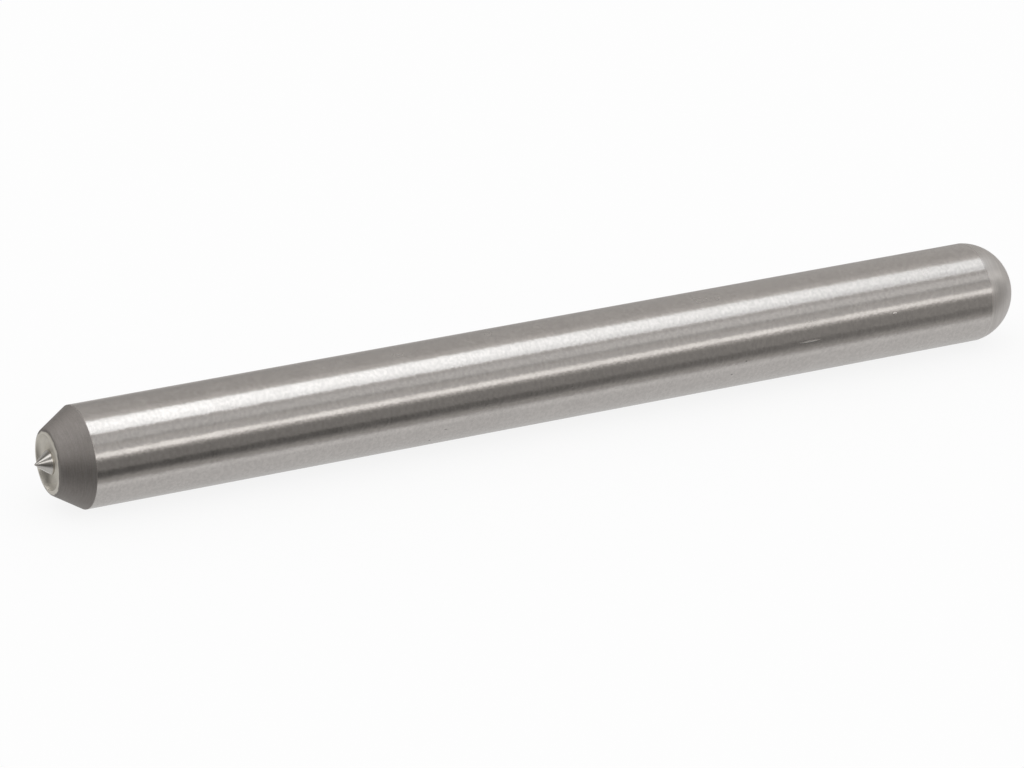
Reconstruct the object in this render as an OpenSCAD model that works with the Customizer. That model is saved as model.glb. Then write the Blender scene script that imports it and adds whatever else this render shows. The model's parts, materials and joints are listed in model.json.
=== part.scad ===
// Rivet setting punch for tubular rivets: a ground steel bar, a conical setting die pressed into
// its front end, and a pointed centre spur pressed into the die.
// Every piece is turned about one axis. Each is drawn upright, with the shoulder where the nose
// meets the bar at height 0 and the working end up, and is then laid along +X on the surface.
// Lengths are in millimetres and angles in degrees.

/* [Ground bar] */
// Diameter of the ground bar
bar_d = 12.7; // [11:0.1:16]
// Length from the rim of the setting face to the struck end
body_len = 133.35; // [90:0.05:180]

/* [Struck end] */
// How much larger the radius of the crown is than the radius of the bar
crown_over = 0.05; // [0.02:0.01:2]
// Radius that blends the crown into the bar
crown_blend = 1.5; // [0.5:0.1:3]

/* [Nose] */
// Length of the conical nose, from the shoulder to the rim
nose_len = 3.8; // [3:0.1:8]
// Outer diameter of the rim of the setting face
rim_d = 7.94; // [7:0.01:9]
// Width of the land on the rim, with its rounded outer edge
land_w = 0.52; // [0.3:0.01:0.8]
// Radius on the outer edge of the rim
rim_round = 0.6; // [0.05:0.01:0.8]

/* [Cup] */
// Depth of the annular cup that rolls the rivet over
cup_depth = 0.65; // [0.4:0.05:1.2]
// Diameter of the circle along which the cup is deepest
trough_d = 4.6; // [3.2:0.1:5]

/* [Centre spur] */
// Diameter of the spur's body
spur_d = 3; // [1.8:0.1:3.4]
// Included angle of the spur's point
point_angle = 78; // [50:1:90]
// Height of the point above the rim
spur_proud = 1.62; // [1:0.01:3]
// Radius on the very tip of the point
tip_round = 0.08; // [0.03:0.01:0.15]
// Depth of the spur's tail below the rim
spur_tail = 9; // [6:0.5:12]

/* [Seats] */
// Diameter of the spigot behind the nose
spigot_d = 8; // [6.5:0.1:9]
// Length of the spigot
spigot_len = 14; // [10:0.5:22]
// Room left between the end of the spigot and the floor of its socket
socket_room = 0.8; // [0.3:0.1:2]
// Included angle of the drill point that ends the socket
drill_angle = 118; // [90:1:140]
// Chamfer that starts the spigot and the spur into their seats
lead_in = 0.4; // [0.2:0.05:0.6]
// Depth of the flat along the spigot that lets air out of the socket
vent_cut = 0.25; // [0.1:0.05:0.5]
// Radial gap drawn at each press fit
fit_gap = 0.01; // [0.005:0.005:0.03]

/* [Hidden] */
round_fn = 96;
// How far a round reaches past the faces that it joins, so that they meet without a sliver
seam = 0.0005;

bar_r = bar_d / 2;
rim_r = rim_d / 2;
spur_r = spur_d / 2;
spigot_r = spigot_d / 2;

// Struck end: the crown is a sphere whose centre lies on the axis, inside the bar
crown_r = bar_r + crown_over;
crown_inset = sqrt(pow(crown_r - crown_blend, 2) - pow(bar_r - crown_blend, 2));
crown_len = crown_r - crown_inset;
blend_len = crown_inset * crown_blend / (crown_r - crown_blend);
barrel_len = body_len - nose_len - crown_len;

// Nose: half angle of the cone, and the round between the cone and the land, of which it leaves
// at least a tenth
nose_slant = atan2(bar_r - rim_r, nose_len);
edge_turn = tan((90 - nose_slant) / 2);
edge_round = min(rim_round, 0.9 * land_w / edge_turn);
edge_cut = edge_round * edge_turn;

// Cup: one arc about the deepest circle, which comes up to the inner edge of the land
mouth_r = rim_r - land_w;
trough_r = trough_d / 2;
cup_arc_r = (pow(mouth_r - trough_r, 2) + pow(cup_depth, 2)) / (2 * cup_depth);
cup_arc_z = nose_len - cup_depth + cup_arc_r;

// Spur: heights of its tip, its point's base and its tail
tip_z = nose_len + spur_proud;
half_point = point_angle / 2;
tip_centre_z = tip_z - tip_round;
point_base_z = tip_centre_z + tip_round / sin(half_point) - spur_r / tan(half_point);
spur_tail_z = nose_len - spur_tail;

// Socket in the bar
socket_r = spigot_r + fit_gap;
socket_len = spigot_len + socket_room;

// Place on the surface: the shoulder's distance from the middle of the punch
shoulder_x = (barrel_len + crown_len - tip_z) / 2;

// Turns a half section about the axis
module turned() {
    rotate_extrude($fn = round_fn) children();
}

// Lays an upright piece along +X, resting on the surface
module laid_down() {
    translate([shoulder_x, 0, bar_r]) rotate([0, 90, 0]) children();
}

// Half section of the bar, from the domed struck end up to the shoulder
module bar_section() {
    translate([0, -barrel_len]) {
        square([bar_r, barrel_len]);
        translate([0, -1.2 * blend_len]) square([bar_r - crown_blend, 2 * blend_len]);
        intersection() {
            translate([bar_r - crown_blend, 0]) circle(r = crown_blend + seam, $fn = round_fn);
            translate([0, -crown_blend]) square([bar_r, 2 * crown_blend]);
        }
        intersection() {
            translate([0, crown_inset]) circle(r = crown_r, $fn = round_fn);
            translate([0, -crown_len]) square([bar_r, crown_len - blend_len]);
        }
    }
}

// Half section of the drilled and chamfered socket
module socket_section() {
    drill_point = socket_r / tan(drill_angle / 2);
    polygon([
        [0, -socket_len - drill_point],
        [socket_r, -socket_len],
        [socket_r, -lead_in],
        [socket_r + 2 * lead_in, lead_in],
        [0, lead_in],
    ]);
}

// Solid cone of the nose with its outer edge rounded
module nose_section() {
    edge_centre = [rim_r - edge_cut, nose_len - edge_round];
    polygon([
        [0, 0],
        [bar_r, 0],
        edge_centre + edge_round * [cos(nose_slant), sin(nose_slant)],
        edge_centre,
        [rim_r - edge_cut, nose_len],
        [0, nose_len],
    ]);
    translate(edge_centre) circle(r = edge_round + seam, $fn = round_fn);
}

// Spigot that is pressed into the bar, with a chamfered tail
module spigot_section() {
    polygon([
        [0, -spigot_len],
        [spigot_r - lead_in, -spigot_len],
        [spigot_r, lead_in - spigot_len],
        [spigot_r, 0],
        [0, 0],
    ]);
}

// What is turned out of the setting face: the cup, and the bore for the spur
module face_section() {
    intersection() {
        translate([trough_r, cup_arc_z]) circle(r = cup_arc_r, $fn = round_fn);
        translate([0, spur_tail_z]) square([mouth_r + cup_arc_r, cup_arc_r + spur_tail]);
    }
    translate([0, spur_tail_z]) square([spur_r + fit_gap, spur_tail + 1]);
}

// Ground bar with the domed struck end
module shank() {
    color([0.72, 0.71, 0.69]) laid_down() turned() difference() {
        bar_section();
        socket_section();
    }
}

// Conical die: rim, annular cup, spur bore and spigot
module setting_die() {
    color([0.38, 0.37, 0.36]) laid_down() difference() {
        turned() difference() {
            union() {
                nose_section();
                spigot_section();
            }
            face_section();
        }
        translate([spigot_r - vent_cut, -spigot_r, -spigot_len]) {
            cube([spigot_d, spigot_d, spigot_len]);
        }
    }
}

// Polished pin that centres the punch in the rivet
module centre_spur() {
    cone_end_r = (tip_round - seam) * cos(half_point);
    cone_end_z = tip_centre_z + (tip_round - seam) * sin(half_point);
    color([0.80, 0.79, 0.77]) laid_down() turned() {
        polygon([
            [0, spur_tail_z],
            [spur_r - lead_in, spur_tail_z],
            [spur_r, spur_tail_z + lead_in],
            [spur_r, point_base_z],
            [cone_end_r, cone_end_z],
            [0, cone_end_z],
        ]);
        intersection() {
            translate([0, tip_centre_z]) circle(r = tip_round, $fn = round_fn);
            translate([0, tip_centre_z]) square([tip_round, tip_round]);
        }
    }
}

shank();
setting_die();
centre_spur();
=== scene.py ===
"""Rivet setting punch in a white studio.

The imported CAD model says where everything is. Each of its three pieces is turned here a second
time, as a fine closed mesh about the punch's own axis, with its real finish, and stands for its
CAD node. The punch lies along X with its point toward +X. Lengths are in metres and angles in
radians, except where a name or a comment says otherwise.
"""

import json
import math
from collections import namedtuple

import bmesh
import bpy
from bpy.props import FloatProperty, FloatVectorProperty, IntProperty, PointerProperty
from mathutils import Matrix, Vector


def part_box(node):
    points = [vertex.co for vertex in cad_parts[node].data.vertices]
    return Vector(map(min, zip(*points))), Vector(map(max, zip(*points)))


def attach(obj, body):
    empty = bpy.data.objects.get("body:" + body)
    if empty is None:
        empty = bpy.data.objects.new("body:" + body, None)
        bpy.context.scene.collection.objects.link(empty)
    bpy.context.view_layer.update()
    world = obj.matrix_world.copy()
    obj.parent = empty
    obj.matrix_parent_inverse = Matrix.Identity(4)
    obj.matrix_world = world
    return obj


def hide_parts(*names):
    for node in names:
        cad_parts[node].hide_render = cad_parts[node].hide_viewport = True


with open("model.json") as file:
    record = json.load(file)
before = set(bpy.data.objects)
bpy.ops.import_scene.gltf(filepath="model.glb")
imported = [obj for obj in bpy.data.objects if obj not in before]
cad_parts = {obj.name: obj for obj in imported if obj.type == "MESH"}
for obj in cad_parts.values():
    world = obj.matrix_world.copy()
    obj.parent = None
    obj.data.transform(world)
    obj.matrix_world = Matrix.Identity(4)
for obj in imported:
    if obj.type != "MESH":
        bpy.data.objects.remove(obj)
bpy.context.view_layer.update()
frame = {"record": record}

bl_info = {
    "name": "Rivet Setting Punch",
    "version": (1, 0, 0),
    "blender": (4, 5, 0),
    "location": "View3D > Sidebar > Punch",
    "description": "Turns the bar, the setting die and the spur of a rivet setting punch",
    "category": "Object",
}

MM = 0.001
MICRON = 1e-6
# Points that are nearer to each other than this count as one
SAME_PLACE = 1e-7
MOUNTS = {mount["name"]: mount for mount in frame["record"]["mounts"]}

# Places along the axis, and radii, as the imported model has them
AXIS_HEIGHT = MOUNTS["shank_grip"]["pos_m"][2]
BAR_RADIUS = MOUNTS["shank_grip"]["dims"]["r_mm"] * MM
MOUTH_RADIUS = MOUNTS["setting_face"]["dims"]["r_mm"] * MM
RIM_X = MOUNTS["setting_face"]["pos_m"][0]
STRUCK_X = MOUNTS["striking_face"]["pos_m"][0]
SHOULDER_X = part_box("shank")[1].x
SPIGOT_END_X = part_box("setting_die")[0].x
SPUR_END_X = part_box("centre_spur")[0].x
TIP_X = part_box("centre_spur")[1].x
SPUR_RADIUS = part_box("centre_spur")[1].z - AXIS_HEIGHT


def length(name, value_mm, description):
    """A property that holds a length, with its default written in millimetres."""
    return FloatProperty(
        name=name, description=description, default=value_mm * MM, unit="LENGTH", precision=5
    )


def share(name, value, description):
    """A property that holds a share between 0 and 1."""
    return FloatProperty(
        name=name, description=description, default=value, min=0.0, max=1.0, subtype="FACTOR"
    )


def colour(name, value, description):
    """A property that holds a colour."""
    return FloatVectorProperty(
        name=name, description=description, default=value, min=0.0, max=1.0, size=3,
        subtype="COLOR",
    )


class PUNCH_PG_bar(bpy.types.PropertyGroup):
    """Sizes and finish of the ground bar and its domed struck end."""

    crown_over: length(
        "Crown over", 0.05, "How much larger the crown's radius is than the bar's"
    )
    crown_blend: length("Crown blend", 1.5, "Radius that blends the crown into the bar")
    socket_radius: length("Socket radius", 4.01, "Radius of the socket that takes the spigot")
    socket_room: length("Socket room", 0.8, "Room between the spigot's end and the socket floor")
    drill_half_angle: FloatProperty(
        name="Drill half angle",
        description="Half the angle of the drill point that ends the socket",
        default=math.radians(59),
        subtype="ANGLE",
    )
    edge_break: length("Edge break", 0.03, "Chamfer that breaks the bar's sharp front edge")
    steel: colour("Steel", (0.607, 0.578, 0.552), "Colour of the ground steel")
    roughness: share("Ground roughness", 0.235, "Roughness of the centreless ground surface")
    dome_roughness: share("Dome roughness", 0.42, "Roughness of the turned struck end")


class PUNCH_PG_die(bpy.types.PropertyGroup):
    """Sizes and finish of the conical setting die."""

    land_width: length("Land width", 0.52, "Width of the land on the rim, with its rounded edge")
    rim_round: length("Rim round", 0.6, "Radius on the outer edge of the rim")
    cup_depth: length("Cup depth", 0.65, "Depth of the annular cup")
    trough_radius: length("Trough radius", 2.3, "Radius of the circle where the cup is deepest")
    spigot_radius: length("Spigot radius", 4.0, "Radius of the spigot behind the nose")
    vent_cut: length("Vent cut", 0.25, "Depth of the flat that lets air out of the socket")
    seat_gap: length("Seat gap", 0.01, "Radial gap drawn at each press fit")
    lead_in: length("Lead-in", 0.4, "Chamfer that starts a press fit")
    matte: colour("Matte steel", (0.30, 0.279, 0.264), "Colour of the dark matte cone")
    matte_roughness: share("Matte roughness", 0.58, "Roughness of the dark matte cone")
    satin: colour("Satin steel", (0.75, 0.715, 0.645), "Colour of the turned cup and rim")
    satin_roughness: share("Satin roughness", 0.48, "Roughness of the turned cup and rim")
    satin_radius: length("Satin radius", 3.82, "How far out over the rim the satin finish goes")
    satin_fade: length("Satin fade", 0.06, "Half the width over which the satin finish ends")
    satin_lobes: length("Satin lobes", 0.13, "Height of the three lobes in the edge of the satin")


class PUNCH_PG_spur(bpy.types.PropertyGroup):
    """Sizes and finish of the centre spur."""

    half_point: FloatProperty(
        name="Half point",
        description="Half the included angle of the spur's point",
        default=math.radians(39),
        subtype="ANGLE",
    )
    tip_round: length("Tip round", 0.08, "Radius on the very tip of the point")
    polished: colour("Polished steel", (0.66, 0.635, 0.60), "Colour of the polished point")
    roughness: share("Polished roughness", 0.15, "Roughness of the polished point")


class PUNCH_PG_stage(bpy.types.PropertyGroup):
    """Camera, floor and light."""

    aim: FloatVectorProperty(
        name="Aim",
        description="Point that the camera looks at",
        default=(4.152 * MM, 0.360 * MM, 5.487 * MM),
        size=3,
        subtype="TRANSLATION",
        unit="LENGTH",
        precision=5,
    )
    azimuth: FloatProperty(
        name="Azimuth",
        description="Turn of the camera round the punch",
        default=math.radians(153.107),
        subtype="ANGLE",
    )
    elevation: FloatProperty(
        name="Elevation",
        description="Height of the camera above the horizon",
        default=math.radians(21.552),
        subtype="ANGLE",
    )
    distance: length("Distance", 639.572, "Distance from the camera to the point it looks at")
    lens_mm: FloatProperty(
        name="Lens", description="Focal length of the camera in millimetres", default=181.70
    )
    floor_radius: length("Floor radius", 1500, "Radius of the round floor")
    floor: colour("Floor", (0.9, 0.9, 0.9), "Colour of the pale floor")
    shadow: share("Shadow", 0.15, "How strongly the floor keeps the punch's shadow")


class PUNCH_PG_mesh(bpy.types.PropertyGroup):
    """How finely the pieces are turned."""

    turns: IntProperty(
        name="Steps round", description="Steps round the axis", default=192, min=24, max=512
    )
    ring_gap: length("Ring gap", 0.6, "Longest step along a straight part of a section")
    arc_step: FloatProperty(
        name="Arc step",
        description="Longest turn between two points of an arc in a section",
        default=math.radians(4),
        subtype="ANGLE",
    )
    sharp_angle: FloatProperty(
        name="Sharp angle",
        description="Edges that turn further than this are shaded sharp",
        default=math.radians(18),
        subtype="ANGLE",
    )


# Sections: lists of (x, radius) points that run from the axis back to the axis


def arc(centre, radius, start, end):
    """Points of an arc, from one angle to another, measured from +X toward the radius."""
    steps = max(2, math.ceil(abs(end - start) / bpy.context.scene.punch_mesh.arc_step))
    angles = [start + (end - start) * step / steps for step in range(steps + 1)]
    return [
        (centre[0] + radius * math.cos(angle), centre[1] + radius * math.sin(angle))
        for angle in angles
    ]


def filled(section):
    """The same section with long straight parts cut into short steps."""
    gap = bpy.context.scene.punch_mesh.ring_gap
    points = [section[0]]
    for (x0, r0), (x1, r1) in zip(section, section[1:]):
        distance = math.hypot(x1 - x0, r1 - r0)
        if distance < SAME_PLACE:
            continue
        steps = max(1, math.ceil(distance / gap))
        points += [
            (x0 + (x1 - x0) * step / steps, r0 + (r1 - r0) * step / steps)
            for step in range(1, steps + 1)
        ]
    return points


def barrel_end():
    """Where the straight barrel ends and the crown's blend begins, and the crown's centre."""
    bar = bpy.context.scene.punch_bar
    crown_radius = BAR_RADIUS + bar.crown_over
    centre_x = STRUCK_X + crown_radius
    reach = math.sqrt((crown_radius - bar.crown_blend) ** 2 - (BAR_RADIUS - bar.crown_blend) ** 2)
    return centre_x - reach, centre_x, crown_radius


def bar_section():
    """Crown, blend, barrel, front face, and the drilled socket."""
    bar = bpy.context.scene.punch_bar
    lead_in = bpy.context.scene.punch_die.lead_in
    blend_x, crown_x, crown_radius = barrel_end()
    blend_centre = (blend_x, BAR_RADIUS - bar.crown_blend)
    meeting = math.atan2(blend_centre[1], blend_centre[0] - crown_x)
    socket_floor = SPIGOT_END_X - bar.socket_room
    drill_point = bar.socket_radius / math.tan(bar.drill_half_angle)
    return [
        *arc((crown_x, 0), crown_radius, math.pi, meeting),
        *arc(blend_centre, bar.crown_blend, meeting, math.pi / 2),
        (SHOULDER_X - bar.edge_break, BAR_RADIUS),
        (SHOULDER_X, BAR_RADIUS - bar.edge_break),
        (SHOULDER_X, bar.socket_radius + lead_in),
        (SHOULDER_X - lead_in, bar.socket_radius),
        (socket_floor, bar.socket_radius),
        (socket_floor - drill_point, 0),
    ]


def die_section():
    """Spigot, shoulder, cone, rim, cup, and the bore that takes the spur."""
    die = bpy.context.scene.punch_die
    rim_radius = MOUTH_RADIUS + die.land_width
    slant = math.atan2(BAR_RADIUS - rim_radius, RIM_X - SHOULDER_X)
    half_turn = (math.pi / 2 - slant) / 2
    edge_cut = die.rim_round * math.tan(half_turn)
    bore_radius = SPUR_RADIUS + die.seat_gap
    wall = MOUTH_RADIUS - die.trough_radius
    cup_radius = (wall**2 + die.cup_depth**2) / (2 * die.cup_depth)
    cup_centre = (RIM_X - die.cup_depth + cup_radius, die.trough_radius)
    cup_mouth = math.pi - math.asin(wall / cup_radius)
    cup_bore = math.pi + math.asin((die.trough_radius - bore_radius) / cup_radius)
    round_centre = (RIM_X - die.rim_round, rim_radius - edge_cut)
    return [
        (SPIGOT_END_X, 0),
        (SPIGOT_END_X, die.spigot_radius - die.lead_in),
        (SPIGOT_END_X + die.lead_in, die.spigot_radius),
        (SHOULDER_X, die.spigot_radius),
        (SHOULDER_X, BAR_RADIUS),
        *arc(round_centre, die.rim_round, math.pi / 2 - slant, 0),
        *arc(cup_centre, cup_radius, cup_mouth, cup_bore),
        (SPUR_END_X, bore_radius),
        (SPUR_END_X, 0),
    ]


def spur_section():
    """Tail, body, cone and rounded tip."""
    spur = bpy.context.scene.punch_spur
    lead_in = bpy.context.scene.punch_die.lead_in
    tip_centre = TIP_X - spur.tip_round
    cone_base = (
        tip_centre
        + spur.tip_round / math.sin(spur.half_point)
        - SPUR_RADIUS / math.tan(spur.half_point)
    )
    return [
        (SPUR_END_X, 0),
        (SPUR_END_X, SPUR_RADIUS - lead_in),
        (SPUR_END_X + lead_in, SPUR_RADIUS),
        (cone_base, SPUR_RADIUS),
        *arc((tip_centre, 0), spur.tip_round, math.pi / 2 - spur.half_point, 0),
    ]


def turned(name, section, node, materials, finish_at):
    """Turns a section about the punch's axis into one closed mesh that stands for a CAD node."""
    mesh_settings = bpy.context.scene.punch_mesh
    turns = mesh_settings.turns
    points = filled(section)
    made = bmesh.new()
    first = made.verts.new((points[0][0], 0, AXIS_HEIGHT))
    last = made.verts.new((points[-1][0], 0, AXIS_HEIGHT))
    angles = [2 * math.pi * turn / turns for turn in range(turns)]
    rings = [
        [
            made.verts.new((x, radius * math.cos(angle), AXIS_HEIGHT + radius * math.sin(angle)))
            for angle in angles
        ]
        for x, radius in points[1:-1]
    ]
    for turn in range(turns):
        following = (turn + 1) % turns
        made.faces.new((first, rings[0][following], rings[0][turn]))
        made.faces.new((last, rings[-1][turn], rings[-1][following]))
        for ring, beyond in zip(rings, rings[1:]):
            made.faces.new((ring[turn], ring[following], beyond[following], beyond[turn]))
    bmesh.ops.recalc_face_normals(made, faces=made.faces)
    for face in made.faces:
        face.smooth = True
        middle = face.calc_center_median()
        face.material_index = finish_at(middle.x, math.hypot(middle.y, middle.z - AXIS_HEIGHT))
    for edge in made.edges:
        edge.smooth = edge.calc_face_angle(0) < mesh_settings.sharp_angle
    mesh = bpy.data.meshes.new(name)
    made.to_mesh(mesh)
    made.free()
    for material in materials:
        mesh.materials.append(material)
    piece = bpy.data.objects.new(name, mesh)
    bpy.context.scene.collection.objects.link(piece)
    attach(piece, "root")
    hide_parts(node)
    return piece


# Shader nodes


class Shader:
    """The nodes of one material or world, written as short calls."""

    def __init__(self, owner):
        owner.use_nodes = True
        self.tree = owner.node_tree
        self.tree.nodes.clear()

    def node(self, kind, sockets=(), **settings):
        """Adds a node, with its settings by name and its inputs by name or number."""
        made = self.tree.nodes.new(kind)
        for name, value in settings.items():
            setattr(made, name, value)
        for key, value in dict(sockets).items():
            self.feed(made.inputs[key], value)
        return made

    def feed(self, socket, value):
        """Links an output to an input, or sets the input's own value."""
        if isinstance(value, bpy.types.NodeSocket):
            self.tree.links.new(value, socket)
        else:
            socket.default_value = value

    def math(self, operation, *values):
        """A Math node's value."""
        return self.node(
            "ShaderNodeMath", dict(enumerate(values)), operation=operation
        ).outputs[0]

    def vector(self, operation, *values):
        """A Vector Math node's vector."""
        return self.node(
            "ShaderNodeVectorMath", dict(enumerate(values)), operation=operation
        ).outputs["Vector"]

    def size(self, vector):
        """Length of a vector."""
        return self.node(
            "ShaderNodeVectorMath", {0: vector}, operation="LENGTH"
        ).outputs["Value"]

    def ramp(self, value, start, end, low=0.0, high=1.0):
        """A smooth step from low at start to high at end."""
        sockets = {"Value": value, "From Min": start, "From Max": end}
        sockets.update({"To Min": low, "To Max": high})
        return self.node(
            "ShaderNodeMapRange", sockets, interpolation_type="SMOOTHSTEP"
        ).outputs["Result"]

    def spread(self, noise, low=0.0, high=1.0):
        """Noise drawn out to low and high: most of it lies between 0.3 and 0.7."""
        return self.ramp(noise, 0.3, 0.7, low, high)

    def blend(self, amount, first, second):
        """A mix of two colours."""
        made = self.node("ShaderNodeMix", {0: amount, 6: first, 7: second}, data_type="RGBA")
        return made.outputs[2]

    def mixed(self, amount, first, second):
        """A mix of two numbers."""
        return self.node("ShaderNodeMix", {0: amount, 2: first, 3: second}).outputs[0]

    def noise(self, vector, detail, roughness=0.5):
        """Noise between 0 and 1 at the scale of its vector."""
        sockets = {"Vector": vector, "Scale": 1.0, "Detail": detail, "Roughness": roughness}
        return self.node("ShaderNodeTexNoise", sockets).outputs[0]

    def bump(self, height, depth, below=None):
        """A normal bumped by a height from 0 to 1 that is worth a depth in metres."""
        sockets = {"Height": height, "Distance": depth, "Strength": 1.0}
        if below is not None:
            sockets["Normal"] = below
        return self.node("ShaderNodeBump", sockets).outputs["Normal"]


def rgba(values):
    """A colour with a full alpha."""
    return (*values, 1.0)


def scaled(values, factor):
    """A colour made lighter or darker."""
    return rgba(tuple(min(1.0, value * factor) for value in values))


def round_axis(x, radius, degrees):
    """A place at a radius from the punch's axis, at an angle from +Y toward +Z."""
    around = math.radians(degrees)
    return x, radius * math.cos(around), radius * math.sin(around)


# Share of a full turn that lays the shine along the axis instead of round it
QUARTER_TURN = 0.25


class TurnedSteel(Shader):
    """A steel surface whose tool marks run round the punch's axis."""

    def __init__(self, name):
        self.material = bpy.data.materials.new(name)
        super().__init__(self.material)
        place = self.node("ShaderNodeTexCoord").outputs["Object"]
        self.place = self.vector("SUBTRACT", place, (0, 0, AXIS_HEIGHT))
        parts = self.node("ShaderNodeSeparateXYZ", {0: self.place}).outputs
        self.x, self.y, self.z = parts[0], parts[1], parts[2]
        self.radius = self.math(
            "SQRT",
            self.math("ADD", self.math("POWER", self.y, 2.0), self.math("POWER", self.z, 2.0)),
        )

    def grooves(self, lines_per_metre, across_per_metre, detail=2.0, slope=0.0):
        """Noise drawn out round the axis; slope is how far radius counts as length."""
        run = self.math("ADD", self.x, self.math("MULTIPLY", self.radius, slope))
        return self.noise(
            self.node(
                "ShaderNodeCombineXYZ",
                {
                    0: self.math("MULTIPLY", run, lines_per_metre),
                    1: self.math("MULTIPLY", self.y, across_per_metre),
                    2: self.math("MULTIPLY", self.z, across_per_metre),
                },
            ).outputs[0],
            detail,
        )

    def speckle(self, per_metre, detail, roughness=0.5):
        """Noise with so many grains per metre along each axis."""
        return self.noise(self.vector("MULTIPLY", self.place, per_metre), detail, roughness)

    def spot(self, place, size, strength):
        """A soft spot about a place, at full strength within 0.3 of its size."""
        off = self.vector("DIVIDE", self.vector("SUBTRACT", self.place, place), size)
        return self.ramp(self.size(off), 1.0, 0.3, high=strength)

    def shades(self, noise, colour, dark, light):
        """A colour that noise takes from a darker to a lighter shade."""
        return self.blend(self.spread(noise), scaled(colour, dark), scaled(colour, light))

    def shaded(self, base, amount, colour, factor):
        """The base, taken by an amount toward a lighter or darker shade of a colour."""
        return self.blend(amount, base, scaled(colour, factor))

    def finish(self, base, roughness, normal, anisotropic):
        """Joins the surface to the material's output."""
        tangent = self.node("ShaderNodeTangent", direction_type="RADIAL", axis="X").outputs[0]
        surface = self.node(
            "ShaderNodeBsdfPrincipled",
            {
                "Base Color": base,
                "Metallic": 1.0,
                "Roughness": roughness,
                "Anisotropic": anisotropic,
                "Anisotropic Rotation": QUARTER_TURN,
                "Tangent": tangent,
                "Normal": normal,
            },
        )
        self.node("ShaderNodeOutputMaterial", {"Surface": surface.outputs[0]})
        return self.material


# Small marks on the barrel, a real nick, a scratch and dark specks, the light ones also with a
# painted glint in their colour: place along the axis, angle round it in degrees, size along and
# round it, and how light (or, below 0, how dark) they are
Mark = namedtuple("Mark", "x_mm around long_mm wide_mm lightness")
MARKS = (
    Mark(-47.4, 14.4, 0.35, 0.22, 1.0),
    Mark(-34.9, 0.7, 1.9, 0.10, 0.7),
    Mark(-24.0, -25.3, 0.20, 0.20, -0.8),
    Mark(-25.8, -10.0, 0.18, 0.14, -0.7),
    Mark(-1.2, -0.3, 0.16, 0.16, -0.7),
    Mark(17.6, -43.8, 0.22, 0.22, -0.8),
    Mark(15.9, -26.7, 0.30, 0.14, -0.7),
)


def marks_on_barrel(steel):
    """Light and dark shares of the small marks; the light ones carry a painted glint."""
    light, dark = 0.0, 0.0
    for mark in MARKS:
        place = round_axis(mark.x_mm * MM, BAR_RADIUS, mark.around)
        wide, long = mark.wide_mm * MM, mark.long_mm * MM
        covered = steel.spot(place, (long, wide, wide), strength=abs(mark.lightness))
        if mark.lightness > 0:
            light = steel.math("ADD", light, covered)
        else:
            dark = steel.math("ADD", dark, covered)
    return light, dark


def ground_steel():
    """Centreless ground barrel: fine lines round the bar, faint blotches and a few small marks,
    the lighter of them with a painted glint.
    """
    bar = bpy.context.scene.punch_bar
    steel = TurnedSteel("ground_steel_barrel")
    grain = steel.speckle((2300.0, 2000.0, 2000.0), detail=1.0)
    lines = steel.grooves(lines_per_metre=6500.0, across_per_metre=900.0)
    bands = steel.grooves(lines_per_metre=420.0, across_per_metre=90.0, detail=3.0)
    blotches = steel.speckle((180.0, 420.0, 420.0), detail=4.0, roughness=0.6)
    light, dark = marks_on_barrel(steel)
    base = steel.shades(grain, bar.steel, dark=0.96, light=1.04)
    base = steel.shaded(base, steel.spread(lines, high=0.08), bar.steel, 0.7)
    base = steel.shaded(base, steel.ramp(blotches, 0.35, 0.7, high=0.10), bar.steel, 0.72)
    base = steel.shaded(base, dark, bar.steel, 0.45)
    # Painted glint: the light marks, a nick and a scratch, are drawn lighter than the steel
    base = steel.shaded(base, light, bar.steel, 1.45)
    roughness = steel.spread(bands, bar.roughness - 0.02, bar.roughness + 0.02)
    roughness = steel.math("ADD", roughness, steel.ramp(blotches, 0.5, 0.75, high=0.03))
    roughness = steel.math("ADD", roughness, steel.math("MULTIPLY", light, 0.15))
    normal = steel.bump(bands, 4 * MICRON)
    normal = steel.bump(grain, 9 * MICRON, normal)
    normal = steel.bump(lines, 0.7 * MICRON, normal)
    normal = steel.bump(steel.math("ADD", light, dark), 20 * MICRON, normal)
    return steel.finish(base, roughness, normal, anisotropic=0.9)


# How far past the barrel's end its finish turns into that of the struck end
DOME_FADE = 0.7 * MM


def dome_steel():
    """Turned and lightly polished struck end: satin, with finer rings toward the middle."""
    bar = bpy.context.scene.punch_bar
    blend_x = barrel_end()[0]
    steel = TurnedSteel("satin_dome")
    rings = steel.grooves(lines_per_metre=4200.0, across_per_metre=200.0, slope=1.0)
    hairlines = steel.grooves(lines_per_metre=12000.0, across_per_metre=420.0, slope=1.0)
    blotches = steel.speckle((350.0, 350.0, 350.0), detail=4.0, roughness=0.6)
    base = steel.shades(rings, bar.steel, dark=0.93, light=1.05)
    base = steel.shaded(base, steel.ramp(blotches, 0.4, 0.7, high=0.15), bar.steel, 0.75)
    fade = steel.ramp(steel.x, blend_x, blend_x - DOME_FADE, bar.roughness, bar.dome_roughness)
    roughness = steel.math("ADD", fade, steel.spread(blotches, -0.03, 0.04))
    normal = steel.bump(rings, 2.5 * MICRON)
    normal = steel.bump(hairlines, 1.5 * MICRON, normal)
    return steel.finish(base, roughness, normal, anisotropic=0.5)


# Width of the painted highlight, a paler band on the cone where it meets the bar, and how far wear
# moves the satin's edge
PAINTED_HIGHLIGHT_WIDTH = 0.12 * MM
WEAR = 0.09 * MM


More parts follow.
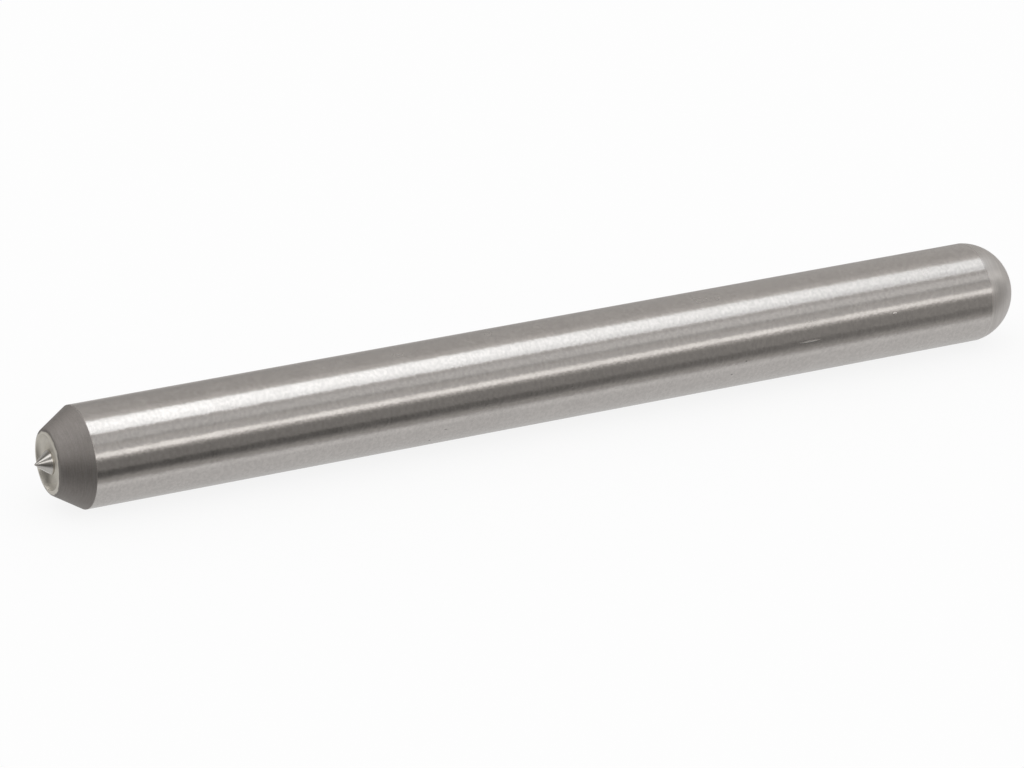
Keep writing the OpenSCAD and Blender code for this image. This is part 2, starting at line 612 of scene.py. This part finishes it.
def matte_steel():
    """Hardened cone: dark, matte, with a fine turned grain and a painted highlight along its edge
    at the bar, worn to satin over the rim.
    """
    die = bpy.context.scene.punch_die
    steel = TurnedSteel("dark_matte_cone")
    rings = steel.grooves(lines_per_metre=5200.0, across_per_metre=600.0, detail=3.0, slope=-1.0)
    grain = steel.speckle((5200.0, 5200.0, 5200.0), detail=3.0, roughness=0.6)
    clouds = steel.speckle((420.0, 420.0, 420.0), detail=4.0, roughness=0.6)
    base = steel.shades(rings, die.matte, dark=0.93, light=1.07)
    base = steel.shaded(base, steel.ramp(clouds, 0.35, 0.7, high=0.5), die.matte, 1.12)
    # Painted highlight: the cone is drawn paler in a thin band where it meets the bar
    edge = steel.ramp(steel.x, SHOULDER_X + PAINTED_HIGHLIGHT_WIDTH, SHOULDER_X, high=0.5)
    base = steel.shaded(base, edge, die.matte, 1.35)
    roughness = steel.spread(grain, die.matte_roughness - 0.05, die.matte_roughness + 0.05)
    wear = steel.speckle((900.0, 900.0, 900.0), detail=2.0)
    thrice_round = steel.math("MULTIPLY", steel.math("ARCTAN2", steel.z, steel.y), 3.0)
    lobes = steel.math("MULTIPLY", steel.math("COSINE", thrice_round), die.satin_lobes)
    reach = steel.math("ADD", steel.radius, steel.ramp(wear, 0.2, 0.8, -WEAR, WEAR))
    reach = steel.math("ADD", reach, lobes)
    on_rim = steel.ramp(
        reach, die.satin_radius + die.satin_fade, die.satin_radius - die.satin_fade
    )
    base = steel.blend(on_rim, base, rgba(die.satin))
    roughness = steel.mixed(on_rim, roughness, die.satin_roughness)
    normal = steel.bump(grain, 6 * MICRON)
    normal = steel.bump(rings, 4 * MICRON, normal)
    return steel.finish(base, roughness, normal, anisotropic=0.2)


# Painted dark reflection on the outer wall of the cup, drawn as a darker patch: radius and angle
# in degrees of its place, and size
PAINTED_REFLECTION_RADIUS = 3.0 * MM
PAINTED_REFLECTION_AROUND = -126
PAINTED_REFLECTION_SIZE = (2.0 * MM, 1.8 * MM, 2.3 * MM)


def satin_steel():
    """Turned cup: lighter, with rings about the spur and a painted dark reflection on its outer
    wall.
    """
    die = bpy.context.scene.punch_die
    steel = TurnedSteel("satin_setting_face")
    rings = steel.grooves(lines_per_metre=7000.0, across_per_metre=500.0, detail=3.0, slope=-1.0)
    clouds = steel.speckle((900.0, 900.0, 900.0), detail=3.0, roughness=0.6)
    base = steel.shades(rings, die.satin, dark=0.94, light=1.04)
    base = steel.shaded(base, steel.ramp(clouds, 0.35, 0.7, high=0.3), die.satin, 0.8)
    # Painted dark reflection: a darker patch on the cup's outer wall stands in for what the wall
    # reflects there
    place = round_axis(RIM_X, PAINTED_REFLECTION_RADIUS, PAINTED_REFLECTION_AROUND)
    painted_reflection = steel.spot(place, PAINTED_REFLECTION_SIZE, strength=0.75)
    base = steel.shaded(base, painted_reflection, die.satin, 0.35)
    roughness = steel.spread(clouds, die.satin_roughness - 0.05, die.satin_roughness + 0.07)
    return steel.finish(base, roughness, steel.bump(rings, 3 * MICRON), anisotropic=0.5)


def polished_steel():
    """Polished point with a trace of turning rings."""
    spur = bpy.context.scene.punch_spur
    steel = TurnedSteel("polished_point")
    rings = steel.grooves(lines_per_metre=9000.0, across_per_metre=600.0, slope=-1.0)
    clouds = steel.speckle((1500.0, 1500.0, 1500.0), detail=3.0)
    base = steel.shades(rings, spur.polished, dark=0.95, light=1.05)
    roughness = steel.spread(clouds, spur.roughness - 0.03, spur.roughness + 0.04)
    return steel.finish(base, roughness, steel.bump(rings, 1.5 * MICRON), anisotropic=0.4)


def seat_steel():
    """Plain turned steel of the hidden seats."""
    bar = bpy.context.scene.punch_bar
    steel = TurnedSteel("turned_seat")
    rings = steel.grooves(lines_per_metre=3600.0, across_per_metre=300.0, slope=1.0)
    base = steel.shades(rings, bar.steel, dark=0.85, light=1.0)
    roughness = steel.spread(rings, 0.36, 0.44)
    return steel.finish(base, roughness, steel.bump(rings, 4 * MICRON), anisotropic=0.4)


# Studio

# What the polished metal sees. Angles go round the punch's axis, in degrees from level on the
# camera's side (0) over the top (90). start and end are how far a card reaches toward the struck
# end (-1) and the point (1), and lean is how many degrees it turns on that way. The two levels
# are those toward the struck end and the point of the bar, and 1 is white. Warmth reddens a card
# and takes blue from it.
Card = namedtuple("Card", "name low high soft lean start end struck_level point_level warmth")
CARDS = (
    Card("tent wall", -190, 190, 1, 0, -2, 2, 0.49, 0.53, 0.025),
    Card("tent behind the softbox", 106, 178, 8, 0, -2, 0, 0.51, 0.36, 0.025),
    Card("pale table", -156, -46, 3, 0, -2, 0, 0.68, 0.61, 0.0),
    Card("near edge of the table", -58, -47, 3, 0, -2, 0, 0.74, 0.78, 0.0),
    Card("fold under the table", -46, -31, 3, 0, -2, 0, 0.38, 0.34, 0.03),
    Card("open front of the tent", -31, 7, 4, 0, -2, 0, 0.37, 0.14, 0.03),
    Card("gap under the open front", -31, -17.5, 3, 0, -0.465, 0, 0.0, 0.0, 0.03),
    Card("wider gap toward the point", -34, -16.5, 3, 0, -0.37, 0, 0.0, 0.0, 0.03),
    Card("strip light", 12.5, 23, 3, 0, -2, 0, 1.10, 1.65, 0.01),
    Card("skirt of the strip light", 23, 33, 4, 0, -2, 0, 0.54, 0.62, 0.01),
    Card("fold of the tent", 38.5, 43.5, 2, 0, -2, 0, 0.40, 0.40, 0.0),
    Card("upper panel", 44, 60, 3, 0, -2, 0, 0.80, 0.50, 0.0),
    Card("skirt of the softbox", 98, 113, 6, 0, -2, 0.05, 0.58, 0.60, 0.025),
    Card("overhead softbox", 69, 100, 3.5, -10, -0.9, -0.04, 0.89, 2.35, -0.03),
    Card("lower part of the softbox", 68, 79, 4, -10, -0.9, -0.04, 0.55, 2.25, -0.03),
    Card("end wall by the struck end", 40, 135, 15, 0, -2, -0.75, 0.62, 0.62, 0.01),
    Card("dark end beyond the struck end", -38, 58, 18, 0, -2, -0.88, 0.15, 0.15, 0.01),
    Card("window by the struck end", 54, 72, 5, 0, -0.95, -0.85, 3.4, 3.4, 0.0),
    Card("table beyond the point", -166, -30, 6, 0, 0, 2, 0.57, 0.57, 0.0),
    Card("table close to the point", -144, -106, 8, 0, -0.07, 0.12, 0.80, 0.80, 0.0),
    Card("dark side by the point", -52, 19, 18, 0, 0, 2, 0.11, 0.11, 0.03),
    Card("side light by the point", 26, 53, 5, 0, 0.66, 0.95, 3.7, 3.7, 0.0),
    Card("soft top by the point", 60, 86, 4, 0, 0.1, 2, 0.34, 0.34, 0.0),
    Card("top light by the point", 91, 122, 4, 0, 0.59, 0.88, 1.38, 1.38, 0.0),
    Card("top wall by the point", 68, 114, 6, 0, 0.05, 0.56, 1.6, 1.6, 0.0),
    Card("wall behind the point", 112, 190, 8, 0, 0, 0.3, 0.45, 0.45, 0.01),
    Card("light behind the point", 112, 148, 8, 0, 0, 0.26, 2.6, 2.6, 0.01),
    Card("dark back by the point", 116, 190, 8, 0, 0.3, 2, 0.2, 0.2, 0.03),
)
# Half the width over which a card fades at its ends
CARD_END_SOFT = 0.08
# What the camera sees in the bar: its middle, and its ends toward the struck end and the point
MIDDLE_OF_BAR = -0.41
BAR_SEEN = (-0.53, -0.29)
# Dark place beyond the point: how far along and up it starts and is full, and its colour
DARK_END_ALONG = (0.75, 0.88)
DARK_END_UP = (-0.25, 0.1)
DARK_END = (0.25, 0.24, 0.23)
BLACK = (0.0, 0.0, 0.0)
WHITE = (1.0, 1.0, 1.0)


def band(light, value, low, high, soft):
    """1 between low and high, fading to 0 over twice the soft width at each end."""
    middle, half = (low + high) / 2, (high - low) / 2
    off = light.math("ABSOLUTE", light.math("SUBTRACT", value, middle))
    return light.ramp(off, half + soft, half - soft)


def white_world():
    """White for the camera and the floor; metal and glass see the studio's cards instead."""
    world = bpy.data.worlds.new("white_studio")
    bpy.context.scene.world = world
    light = Shader(world)
    direction = light.node("ShaderNodeTexCoord").outputs["Generated"]
    parts = light.node("ShaderNodeSeparateXYZ", {0: direction}).outputs
    along, across, up = parts[0], parts[1], parts[2]
    around = light.math("DEGREES", light.math("ARCTAN2", up, across))
    toward_point = light.ramp(along, *BAR_SEEN)
    from_middle = light.math("SUBTRACT", along, MIDDLE_OF_BAR)
    seen = rgba(BLACK)
    for card in CARDS:
        turned_by = light.math("MULTIPLY", from_middle, float(card.lean))
        cover = light.math(
            "MULTIPLY",
            band(light, light.math("SUBTRACT", around, turned_by), card.low, card.high, card.soft),
            band(light, along, card.start, card.end, CARD_END_SOFT),
        )
        level = light.mixed(toward_point, card.struck_level, card.point_level)
        tint = (1.0 + card.warmth, 1.0, 1.0 - card.warmth)
        own = light.vector("SCALE", tint)
        light.feed(own.node.inputs["Scale"], level)
        seen = light.blend(cover, seen, own)
        seen.node.label = card.name
    dark_end = light.math(
        "MULTIPLY", light.ramp(along, *DARK_END_ALONG), light.ramp(up, *DARK_END_UP)
    )
    seen = light.blend(dark_end, seen, rgba(DARK_END))
    rays = light.node("ShaderNodeLightPath").outputs
    sees_cards = light.math("MAXIMUM", rays["Is Glossy Ray"], rays["Is Transmission Ray"])
    white = light.node("ShaderNodeBackground", {"Color": rgba(WHITE), "Strength": 1.0})
    cards = light.node("ShaderNodeBackground", {"Color": seen, "Strength": 1.0})
    both = light.node(
        "ShaderNodeMixShader", {0: sees_cards, 1: white.outputs[0], 2: cards.outputs[0]}
    )
    light.node("ShaderNodeOutputWorld", {"Surface": both.outputs[0]})


# Sides of the round floor
FLOOR_SIDES = 96


def pale_floor():
    """Round pale floor that reads as white and keeps a soft shadow."""
    stage = bpy.context.scene.punch_stage
    made = bmesh.new()
    bmesh.ops.create_circle(made, cap_ends=True, segments=FLOOR_SIDES, radius=stage.floor_radius)
    mesh = bpy.data.meshes.new("floor")
    made.to_mesh(mesh)
    made.free()
    material = bpy.data.materials.new("pale_floor")
    paint = Shader(material)
    rays = paint.node("ShaderNodeLightPath").outputs
    seen = paint.math("MAXIMUM", rays["Is Camera Ray"], rays["Is Glossy Ray"])
    seen = paint.math("MAXIMUM", seen, rays["Is Transmission Ray"])
    lit = paint.node("ShaderNodeBsdfDiffuse", {"Color": rgba(stage.floor)})
    white = paint.node("ShaderNodeEmission", {"Color": rgba(WHITE), "Strength": 1.0})
    kept = paint.math("MULTIPLY", seen, 1.0 - stage.shadow)
    mixed = paint.node("ShaderNodeMixShader", {0: kept, 1: lit.outputs[0], 2: white.outputs[0]})
    paint.node("ShaderNodeOutputMaterial", {"Surface": mixed.outputs[0]})
    mesh.materials.append(material)
    floor = bpy.data.objects.new("floor", mesh)
    floor.visible_glossy = False
    floor.visible_shadow = False
    bpy.context.scene.collection.objects.link(floor)


# Nearest and farthest distance that the camera sees
CAMERA_REACH = (0.01, 20.0)


def studio_camera():
    """Camera at the photograph's place."""
    stage = bpy.context.scene.punch_stage
    data = bpy.data.cameras.new("camera")
    data.lens = stage.lens_mm
    data.clip_start, data.clip_end = CAMERA_REACH
    camera = bpy.data.objects.new("camera", data)
    bpy.context.scene.collection.objects.link(camera)
    level = math.cos(stage.elevation)
    back = Vector(
        (
            math.sin(stage.azimuth) * level,
            -math.cos(stage.azimuth) * level,
            math.sin(stage.elevation),
        )
    )
    camera.location = Vector(stage.aim) + back * stage.distance
    camera.rotation_euler = (-back).to_track_quat("-Z", "Y").to_euler()
    bpy.context.scene.camera = camera


class PUNCH_OT_bar(bpy.types.Operator):
    """Make the ground bar with its domed struck end and its socket"""

    bl_idname = "punch.bar"
    bl_label = "Ground Bar"
    bl_options = {"REGISTER", "UNDO"}

    def execute(self, context):
        blend_x = barrel_end()[0]
        barrel, dome, seat = range(3)
        # The middles of the barrel's flat faces lie a little inside its radius
        inside_barrel = BAR_RADIUS - 4 * context.scene.punch_bar.edge_break

        def finish_at(x, radius):
            if x < blend_x:
                return dome
            return barrel if radius > inside_barrel else seat

        materials = [ground_steel(), dome_steel(), seat_steel()]
        turned("ground_bar", bar_section(), "shank", materials, finish_at)
        return {"FINISHED"}


class PUNCH_OT_die(bpy.types.Operator):
    """Make the conical setting die with its rim, cup and spigot"""

    bl_idname = "punch.die"
    bl_label = "Setting Die"
    bl_options = {"REGISTER", "UNDO"}

    def execute(self, context):
        die = context.scene.punch_die
        cone, cup, seat = range(3)
        outside_bore = SPUR_RADIUS + 2 * die.seat_gap

        def finish_at(x, radius):
            if x < SHOULDER_X + MICRON or radius < outside_bore:
                return seat
            return cup if radius < MOUTH_RADIUS else cone

        materials = [matte_steel(), satin_steel(), seat_steel()]
        die_piece = turned(
            "conical_die", die_section(), "setting_die", materials, finish_at
        )
        # The spigot's underside is flat, which lets air out of the socket
        flat_height = AXIS_HEIGHT - die.spigot_radius + die.vent_cut
        for vertex in die_piece.data.vertices:
            if vertex.co.x < SHOULDER_X - MICRON:
                vertex.co.z = max(vertex.co.z, flat_height)
        return {"FINISHED"}


class PUNCH_OT_spur(bpy.types.Operator):
    """Make the polished centre spur"""

    bl_idname = "punch.spur"
    bl_label = "Centre Spur"
    bl_options = {"REGISTER", "UNDO"}

    def execute(self, context):
        turned(
            "pointed_spur", spur_section(), "centre_spur", [polished_steel()],
            lambda x, radius: 0,
        )
        return {"FINISHED"}


class PUNCH_OT_stage(bpy.types.Operator):
    """Make the floor, the white studio light and the camera"""

    bl_idname = "punch.stage"
    bl_label = "Studio"
    bl_options = {"REGISTER", "UNDO"}

    def execute(self, context):
        pale_floor()
        white_world()
        studio_camera()
        view = context.scene.view_settings
        view.view_transform = "Standard"
        return {"FINISHED"}


# The operators in order, each with its settings; the first settings are for every mesh
STEPS = (
    (None, "punch_mesh"),
    ("punch.bar", "punch_bar"),
    ("punch.die", "punch_die"),
    ("punch.spur", "punch_spur"),
    ("punch.stage", "punch_stage"),
)


class PUNCH_PT_panel(bpy.types.Panel):
    """Lists the steps and their sizes"""

    bl_label = "Rivet Setting Punch"
    bl_idname = "PUNCH_PT_panel"
    bl_space_type = "VIEW_3D"
    bl_region_type = "UI"
    bl_category = "Punch"

    def draw(self, context):
        for operator, settings in STEPS:
            box = self.layout.box()
            if operator:
                box.operator(operator)
            group = getattr(context.scene, settings)
            for name in group.__annotations__:
                box.prop(group, name)


GROUPS = {
    "punch_mesh": PUNCH_PG_mesh,
    "punch_bar": PUNCH_PG_bar,
    "punch_die": PUNCH_PG_die,
    "punch_spur": PUNCH_PG_spur,
    "punch_stage": PUNCH_PG_stage,
}
CLASSES = (
    *GROUPS.values(),
    PUNCH_OT_bar,
    PUNCH_OT_die,
    PUNCH_OT_spur,
    PUNCH_OT_stage,
    PUNCH_PT_panel,
)


def register():
    """Registers the classes and gives the scene its settings."""
    for each in CLASSES:
        bpy.utils.register_class(each)
    for name, group in GROUPS.items():
        setattr(bpy.types.Scene, name, PointerProperty(type=group))


def unregister():
    """Takes the settings and the classes away."""
    for name in GROUPS:
        delattr(bpy.types.Scene, name)
    for each in reversed(CLASSES):
        bpy.utils.unregister_class(each)


def main():
    """Builds the punch and its studio."""
    register()
    bpy.ops.punch.bar()
    bpy.ops.punch.die()
    bpy.ops.punch.spur()
    bpy.ops.punch.stage()


if __name__ == "__main__":
    main()
